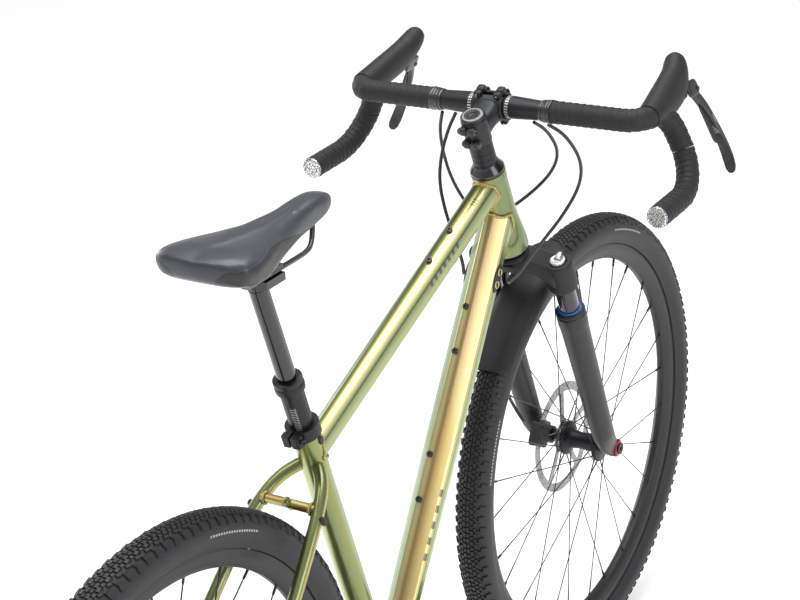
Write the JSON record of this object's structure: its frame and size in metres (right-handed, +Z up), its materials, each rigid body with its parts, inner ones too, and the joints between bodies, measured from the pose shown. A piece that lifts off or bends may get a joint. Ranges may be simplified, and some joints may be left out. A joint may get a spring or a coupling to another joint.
{
  "type": "gravel bicycle",
  "caption": "Drop-bar bicycle with a short-travel suspension fork, knobby tyres, disc brakes and a height-adjustable seatpost.",
  "frame": {"origin": "on the ground, midway between the axles, in the middle plane", "axes": "+X forward, +Y to the rider's left, +Z up"},
  "size_m": [1.776, 0.58, 1.0427],
  "materials": {
    "frame_paint": "gloss colour-shift",
    "black_alloy": "black anodised",
    "bearing_steel": "satin",
    "tyre_rubber": "moulded",
    "fork_black": "matte",
    "stanchion_black": "gloss anodised",
    "seal_rubber": "moulded",
    "black_plastic": "matte",
    "spoke_steel": "black",
    "rotor_steel": "brushed",
    "caliper_black": "satin black",
    "pad_compound": "rough",
    "gear_steel": "satin",
    "crank_black": "satin black",
    "bar_wrap": "ribbed wrap",
    "hood_rubber": "textured",
    "saddle_cover": "smooth synthetic",
    "rail_steel": "satin",
    "dial_silver": "anodised",
    "hose_black": "smooth"
  },
  "bodies": {
    "frame": {"head_tube": "frame_paint", "top_tube": "frame_paint", "down_tube": "frame_paint", "seat_tube": "frame_paint", "bottom_bracket_shell": "frame_paint", "chainstays": "frame_paint", "seatstays": "frame_paint", "frame_bearings": "bearing_steel", "frame_bolts": "bearing_steel", "seat_clamp": "black_alloy", "seatpost_outer": "black_alloy", "rear_axle": "bearing_steel", "rear_caliper": "caliper_black", "derailleur_body": "black_alloy", "chain": "gear_steel"},
    "steering": {"fork_crown": "fork_black", "stanchions": "stanchion_black", "headset_spacers": "black_alloy", "stem": "black_alloy", "stem_faceplate": "black_alloy", "stem_bolts": "bearing_steel", "handlebar": "black_alloy", "bar_tape": "bar_wrap", "lever_hoods": "hood_rubber", "right_cables": "hose_black", "left_cables": "hose_black"},
    "lowers": {"fork_lowers": "fork_black", "fork_seals": "seal_rubber", "front_fender": "black_plastic", "front_axle": "bearing_steel", "front_caliper": "caliper_black"},
    "front_wheel": {"front_tyre": "tyre_rubber", "front_rim": "black_alloy", "front_spokes": "spoke_steel", "front_hub": "black_alloy", "front_rotor": "rotor_steel"},
    "rear_wheel": {"rear_tyre": "tyre_rubber", "rear_rim": "black_alloy", "rear_spokes": "spoke_steel", "rear_hub": "black_alloy", "rear_rotor": "rotor_steel"},
    "cassette": {"cassette": "gear_steel"},
    "crank": {"crankset": "crank_black"},
    "left_pedal": {"pedal_left": "black_plastic"},
    "right_pedal": {"pedal_right": "black_plastic"},
    "derailleur_cage": {"derailleur_cage": "black_alloy"},
    "upper_guide_wheel": {"jockey_upper": "black_plastic"},
    "lower_guide_wheel": {"jockey_lower": "black_plastic"},
    "left_brake_lever": {"brake_lever_left": "caliper_black"},
    "right_brake_lever": {"brake_lever_right": "caliper_black"},
    "left_shift_paddle": {"shift_paddle_left": "black_plastic"},
    "right_shift_paddle": {"shift_paddle_right": "black_plastic"},
    "seatpost": {"seatpost_inner": "black_alloy", "saddle_rails": "rail_steel", "saddle": "saddle_cover"},
    "lockout_dial": {"lockout_dial": "dial_silver"},
    "front_pad_in": {"front_pad_inner": "pad_compound"},
    "front_pad_out": {"front_pad_outer": "pad_compound"},
    "rear_pad_in": {"rear_pad_inner": "pad_compound"},
    "rear_pad_out": {"rear_pad_outer": "pad_compound"}
  },
  "joints": [
    {"name": "steering", "type": "hinge", "parent": "frame", "child": "steering", "pos_m": [0.32607, 0, 0.76991], "axis": [-0.3453, 0, 0.9385], "range_deg": [-60, 60], "deforming": ["right_cables", "left_cables"]},
    {"name": "fork_travel", "type": "slide", "parent": "steering", "child": "lowers", "axis": [-0.3453, 0, 0.9385], "range_m": [0, 0.04], "stiffness_N_per_m": 12000, "springref_m": -0.02},
    {"name": "front_wheel_spin", "type": "hinge", "parent": "lowers", "child": "front_wheel", "pos_m": [0.523, 0, 0.365], "axis": [0, 1, 0], "continuous": true},
    {"name": "rear_wheel_spin", "type": "hinge", "parent": "frame", "child": "rear_wheel", "pos_m": [-0.523, 0, 0.365], "axis": [0, 1, 0], "continuous": true},
    {"name": "crank_spin", "type": "hinge", "parent": "frame", "child": "crank", "pos_m": [-0.07929, 0, 0.29], "axis": [0, 1, 0], "continuous": true, "deforming": ["chain"]},
    {"name": "cassette_spin", "type": "hinge", "parent": "frame", "child": "cassette", "pos_m": [-0.523, 0, 0.365], "axis": [0, 1, 0], "continuous": true},
    {"name": "left_pedal_spin", "type": "hinge", "parent": "crank", "child": "left_pedal", "pos_m": [-0.25179, 0, 0.29], "axis": [0, 1, 0], "continuous": true},
    {"name": "right_pedal_spin", "type": "hinge", "parent": "crank", "child": "right_pedal", "pos_m": [0.09321, 0, 0.29], "axis": [0, 1, 0], "continuous": true},
    {"name": "derailleur_cage_swing", "type": "hinge", "parent": "frame", "child": "derailleur_cage", "pos_m": [-0.525, 0, 0.283], "axis": [0, 1, 0], "range_deg": [0, 25], "stiffness_Nm_per_rad": 0.6, "springref_deg": -17.19},
    {"name": "upper_guide_wheel_spin", "type": "hinge", "parent": "derailleur_cage", "child": "upper_guide_wheel", "pos_m": [-0.525, 0, 0.283], "axis": [0, 1, 0], "continuous": true},
    {"name": "lower_guide_wheel_spin", "type": "hinge", "parent": "derailleur_cage", "child": "lower_guide_wheel", "pos_m": [-0.481, 0, 0.237], "axis": [0, 1, 0], "continuous": true},
    {"name": "left_brake_lever_pull", "type": "hinge", "parent": "steering", "child": "left_brake_lever", "pos_m": [0.45123, 0.22813, 0.98774], "axis": [-0.0092, 0.9135, 0.4066], "range_deg": [0, 22], "stiffness_Nm_per_rad": 1.5, "springref_deg": -5.73},
    {"name": "left_shift_paddle_swing", "type": "hinge", "parent": "left_brake_lever", "child": "left_shift_paddle", "pos_m": [0.45877, 0.2387, 0.96416], "axis": [-0.9997, 0, -0.0227], "range_deg": [0, 12], "stiffness_Nm_per_rad": 0.3, "springref_deg": -5.73},
    {"name": "right_brake_lever_pull", "type": "hinge", "parent": "steering", "child": "right_brake_lever", "pos_m": [0.45123, -0.22813, 0.98774], "axis": [0.0092, 0.9135, -0.4066], "range_deg": [0, 22], "stiffness_Nm_per_rad": 1.5, "springref_deg": -5.73},
    {"name": "right_shift_paddle_swing", "type": "hinge", "parent": "right_brake_lever", "child": "right_shift_paddle", "pos_m": [0.45877, -0.2387, 0.96416], "axis": [0.9997, 0, 0.0227], "range_deg": [0, 12], "stiffness_Nm_per_rad": 0.3, "springref_deg": -5.73},
    {"name": "seatpost_drop", "type": "slide", "parent": "frame", "child": "seatpost", "axis": [-0.2773, 0, 0.9608], "range_m": [-0.095, 0]},
    {"name": "lockout_dial_turn", "type": "hinge", "parent": "steering", "child": "lockout_dial", "pos_m": [0.35436, -0.062, 0.74515], "axis": [-0.3453, 0, 0.9385], "range_deg": [0, 90]},
    {"name": "front_pad_in_push", "type": "slide", "parent": "lowers", "child": "front_pad_in", "axis": [0, 1, 0], "range_m": [0, 0.0003]},
    {"name": "front_pad_out_push", "type": "slide", "parent": "lowers", "child": "front_pad_out", "axis": [0, -1, 0], "range_m": [0, 0.0003]},
    {"name": "rear_pad_in_push", "type": "slide", "parent": "frame", "child": "rear_pad_in", "axis": [0, 1, 0], "range_m": [0, 0.0003]},
    {"name": "rear_pad_out_push", "type": "slide", "parent": "frame", "child": "rear_pad_out", "axis": [0, -1, 0], "range_m": [0, 0.0003]}
  ],
  "couplings": [
    {"joint": "cassette_spin", "follows": "crank_spin", "ratio": 1.9048},
    {"joint": "upper_guide_wheel_spin", "follows": "crank_spin", "ratio": -3.3333},
    {"joint": "lower_guide_wheel_spin", "follows": "crank_spin", "ratio": 3.3333},
    {"joint": "front_pad_in_push", "follows": "left_brake_lever_pull", "m_per_rad": 0.00078131},
    {"joint": "front_pad_out_push", "follows": "left_brake_lever_pull", "m_per_rad": 0.00078131},
    {"joint": "rear_pad_in_push", "follows": "right_brake_lever_pull", "m_per_rad": 0.00078131},
    {"joint": "rear_pad_out_push", "follows": "right_brake_lever_pull", "m_per_rad": 0.00078131}
  ]
}
